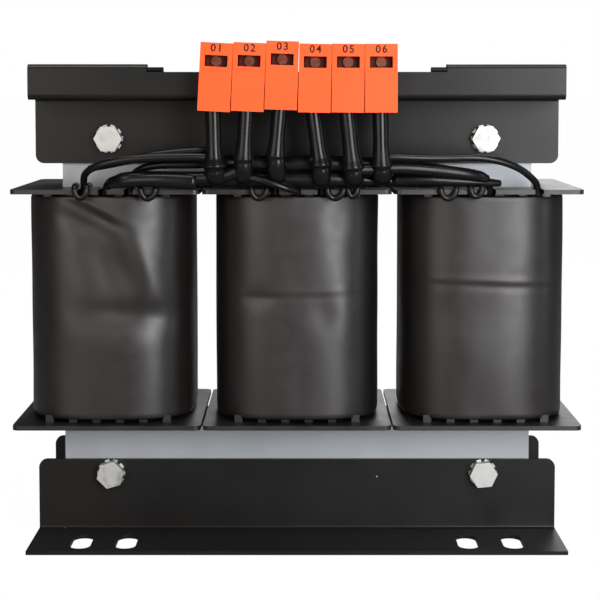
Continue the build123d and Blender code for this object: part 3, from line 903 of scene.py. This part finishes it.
def make_floor():
    """A white floor that stays white to the camera and keeps a faint shadow."""
    grid = np.array([(-1, -1, 0), (1, -1, 0), (1, 1, 0), (-1, 1, 0)], float) * FLOOR_HALF
    floor = mesh_piece("floor", grid, [[0, 1, 2, 3]], smooth=False)
    material = bpy.data.materials.new("floor_white")
    material.use_nodes = True
    tree = material.node_tree
    shader = tree.nodes["Principled BSDF"]
    shader.inputs["Base Color"].default_value = (0.2, 0.2, 0.2, 1)
    shader.inputs["Roughness"].default_value = 0.9
    shader.inputs["Specular IOR Level"].default_value = 0.1
    glow = tree.nodes.new("ShaderNodeEmission")
    glow.inputs["Strength"].default_value = 1.06
    mix = tree.nodes.new("ShaderNodeMixShader")
    path = tree.nodes.new("ShaderNodeLightPath")
    share = math_node(tree, "MULTIPLY", path.outputs["Is Camera Ray"], 0.93)
    tree.links.new(share, mix.inputs["Fac"])
    tree.links.new(shader.outputs["BSDF"], mix.inputs[1])
    tree.links.new(glow.outputs["Emission"], mix.inputs[2])
    tree.links.new(mix.outputs["Shader"], tree.nodes["Material Output"].inputs["Surface"])
    floor.data.materials.append(material)


def soft_box(name, place, target, size, power, tint):
    """A rectangular lamp at place, facing target."""
    lamp = bpy.data.lights.new(name, "AREA")
    lamp.shape = "RECTANGLE"
    lamp.size, lamp.size_y = size
    lamp.energy = power
    lamp.color = tint
    piece = bpy.data.objects.new(name, lamp)
    piece.location = place
    piece.rotation_euler = (Vector(target) - Vector(place)).to_track_quat("-Z", "Y").to_euler()
    piece.visible_camera = False
    bpy.context.scene.collection.objects.link(piece)


HEART = (0, 0, 0.13)
BROW = (0, 0, 0.30)

# Each lamp: name, place, the point it faces, its size, its power in watts and its tint.
LAMPS = (
    ("key", (0.40, -0.84, 0.37), BROW, (0.34, 0.72), 11.0, (1.0, 0.99, 0.99)),
    ("right", (0.98, -0.30, 0.40), HEART, (0.2, 0.75), 1.6, (0.86, 0.90, 1.0)),
    ("left", (-0.52, -0.90, 0.38), BROW, (0.6, 0.72), 4.6, (1.0, 0.90, 0.82)),
    ("top", (0.0, -0.25, 1.2), HEART, (0.9, 0.6), 9.0, (1.0, 1.0, 1.0)),
    ("rear", (0.3, 1.2, 0.8), HEART, (0.9, 0.7), 8.0, (1.0, 1.0, 1.0)),
)

# Viewpoint: in front of the core, near its upper yoke, looking a little down.
CAMERA_PLACE = (0.0016, -0.8575, 0.2364)
CAMERA_TILT = 3.65
CAMERA_SHIFT = -0.180
FOCAL_IN_FRAMES = 2.595


def make_camera():
    camera = bpy.data.cameras.new("camera")
    camera.sensor_width = 36.0
    camera.lens = 36.0 * FOCAL_IN_FRAMES
    camera.shift_y = CAMERA_SHIFT
    camera.clip_start = 0.05
    piece = bpy.data.objects.new("camera", camera)
    piece.location = CAMERA_PLACE
    piece.rotation_euler = Euler((math.radians(90 - CAMERA_TILT), 0, 0))
    bpy.context.scene.collection.objects.link(piece)
    bpy.context.scene.camera = piece


# Operators ----------------------------------------------------------------------------
class TRANSFORMER_OT_stage(bpy.types.Operator):
    """Makes the camera, the lamps, the white surroundings and the floor"""

    bl_idname = "transformer.stage"
    bl_label = "Studio"

    def execute(self, context):
        make_camera()
        make_world()
        make_floor()
        for lamp in LAMPS:
            soft_box(*lamp)
        context.scene.view_settings.view_transform = "Standard"
        return {"FINISHED"}


class TRANSFORMER_OT_finishes(bpy.types.Operator):
    """Makes the materials and gives each CAD node the one of its slot"""

    bl_idname = "transformer.finishes"
    bl_label = "Finishes"

    def execute(self, context):
        materials = make_materials(context.scene.transformer_colours)
        for entry in frame["record"]["subparts"]:
            slots = NODES[entry["node"]].data.materials
            slots.clear()
            slots.append(materials[entry["material_slot"]])
        # The clamps take the dark maroon clamp_cage material, painted shade of the terminal windows'
        # insides, in place of their slot's finish.
        NODES["terminal_clamps"].data.materials[0] = materials["clamp_cage"]
        return {"FINISHED"}


class TRANSFORMER_OT_coil_films(bpy.types.Operator):
    """Winds the dented black film round each coil"""

    bl_idname = "transformer.coil_films"
    bl_label = "Coil films"

    def execute(self, context):
        for side in SIDES:
            piece = coil_film(side, context.scene.transformer_sizes)
            finish_piece(piece, dressed("wrap_film"), "wrap_film", f"coil_wrap_{side}")
        return {"FINISHED"}


class TRANSFORMER_OT_windings(bpy.types.Operator):
    """Winds the outer winding of each coil, under its film"""

    bl_idname = "transformer.windings"
    bl_label = "Windings"

    def execute(self, context):
        for side in SIDES:
            piece = winding(side, context.scene.transformer_sizes)
            finish_piece(piece, dressed("copper"), "copper", f"secondary_winding_{side}")
        return {"FINISHED"}


class TRANSFORMER_OT_leads(bpy.types.Operator):
    """Lays the leads from the sleeves to the coils"""

    bl_idname = "transformer.leads"
    bl_label = "Leads"

    def execute(self, context):
        for node, (points, radii) in LEADS.items():
            piece = swept_tube(f"{node}_cover", np.array(points) * MM, np.array(radii) * MM)
            finish_piece(piece, dressed("lead_cover"), "lead_cover", node)
        return {"FINISHED"}


class TRANSFORMER_OT_covers(bpy.types.Operator):
    """Lays the loose covers round the leads and the lacing over the coils"""

    bl_idname = "transformer.covers"
    bl_label = "Covers and lacing"

    def execute(self, context):
        for name, (points, radii) in COVERS.items():
            piece = swept_tube(name, np.array(points) * MM, np.array(radii) * MM, flatten=0.85)
            finish_piece(piece, dressed("lead_cover"), "lead_cover")
        low, high = (np.array(corner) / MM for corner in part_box("bobbin_middle"))
        for number, loop in enumerate(LACING, 1):
            points = np.array(lacing_points(*loop, low[1], high[2])) * MM
            piece = swept_tube(f"lacing_{number}", points, np.full(len(points), 1.6 * MM), sides=14)
            finish_piece(piece, dressed("lead_cover"), "lead_cover")
        return {"FINISHED"}


class TRANSFORMER_OT_sleeves(bpy.types.Operator):
    """Shrinks a flared sleeve over each lead below its terminal"""

    bl_idname = "transformer.sleeves"
    bl_label = "Sleeves"

    def execute(self, context):
        for number in range(1, len(SLEEVES) + 1):
            piece = sleeve_piece(number)
            finish_piece(piece, dressed("sleeve"), "sleeve", f"lead_sleeve_{number}")
        return {"FINISHED"}


class TRANSFORMER_OT_numbers(bpy.types.Operator):
    """Prints a plain number on each terminal"""

    bl_idname = "transformer.numbers"
    bl_label = "Terminal numbers"

    def execute(self, context):
        ink = dark_finish("number_ink", (0.012, 0.007, 0.006), 0.6, 0.15, 1500.0)
        for number in range(1, len(SLEEVES) + 1):
            piece = terminal_number(number, context.scene.transformer_sizes.number_height)
            finish_piece(piece, ink, "orange_plastic")
        return {"FINISHED"}


class TRANSFORMER_PT_panel(bpy.types.Panel):
    """Lists the steps and the settings of the transformer"""

    bl_label = "Transformer"
    bl_idname = "TRANSFORMER_PT_panel"
    bl_space_type = "VIEW_3D"
    bl_region_type = "UI"
    bl_category = "Transformer"

    def draw(self, context):
        for settings in (context.scene.transformer_colours, context.scene.transformer_sizes):
            box = self.layout.box()
            for name in settings.__annotations__:
                box.prop(settings, name)
        for operator in OPERATORS:
            self.layout.operator(operator.bl_idname)


OPERATORS = (
    TRANSFORMER_OT_stage,
    TRANSFORMER_OT_finishes,
    TRANSFORMER_OT_coil_films,
    TRANSFORMER_OT_windings,
    TRANSFORMER_OT_leads,
    TRANSFORMER_OT_covers,
    TRANSFORMER_OT_sleeves,
    TRANSFORMER_OT_numbers,
)
CLASSES = (TransformerColours, TransformerSizes, *OPERATORS, TRANSFORMER_PT_panel)


def register():
    for item in CLASSES:
        bpy.utils.register_class(item)
    bpy.types.Scene.transformer_colours = PointerProperty(type=TransformerColours)
    bpy.types.Scene.transformer_sizes = PointerProperty(type=TransformerSizes)


def unregister():
    del bpy.types.Scene.transformer_sizes
    del bpy.types.Scene.transformer_colours
    for item in reversed(CLASSES):
        bpy.utils.unregister_class(item)


def main():
    register()
    bpy.ops.transformer.stage()
    bpy.ops.transformer.finishes()
    bpy.ops.transformer.coil_films()
    bpy.ops.transformer.windings()
    bpy.ops.transformer.leads()
    bpy.ops.transformer.covers()
    bpy.ops.transformer.sleeves()
    bpy.ops.transformer.numbers()


if __name__ == "__main__":
    main()
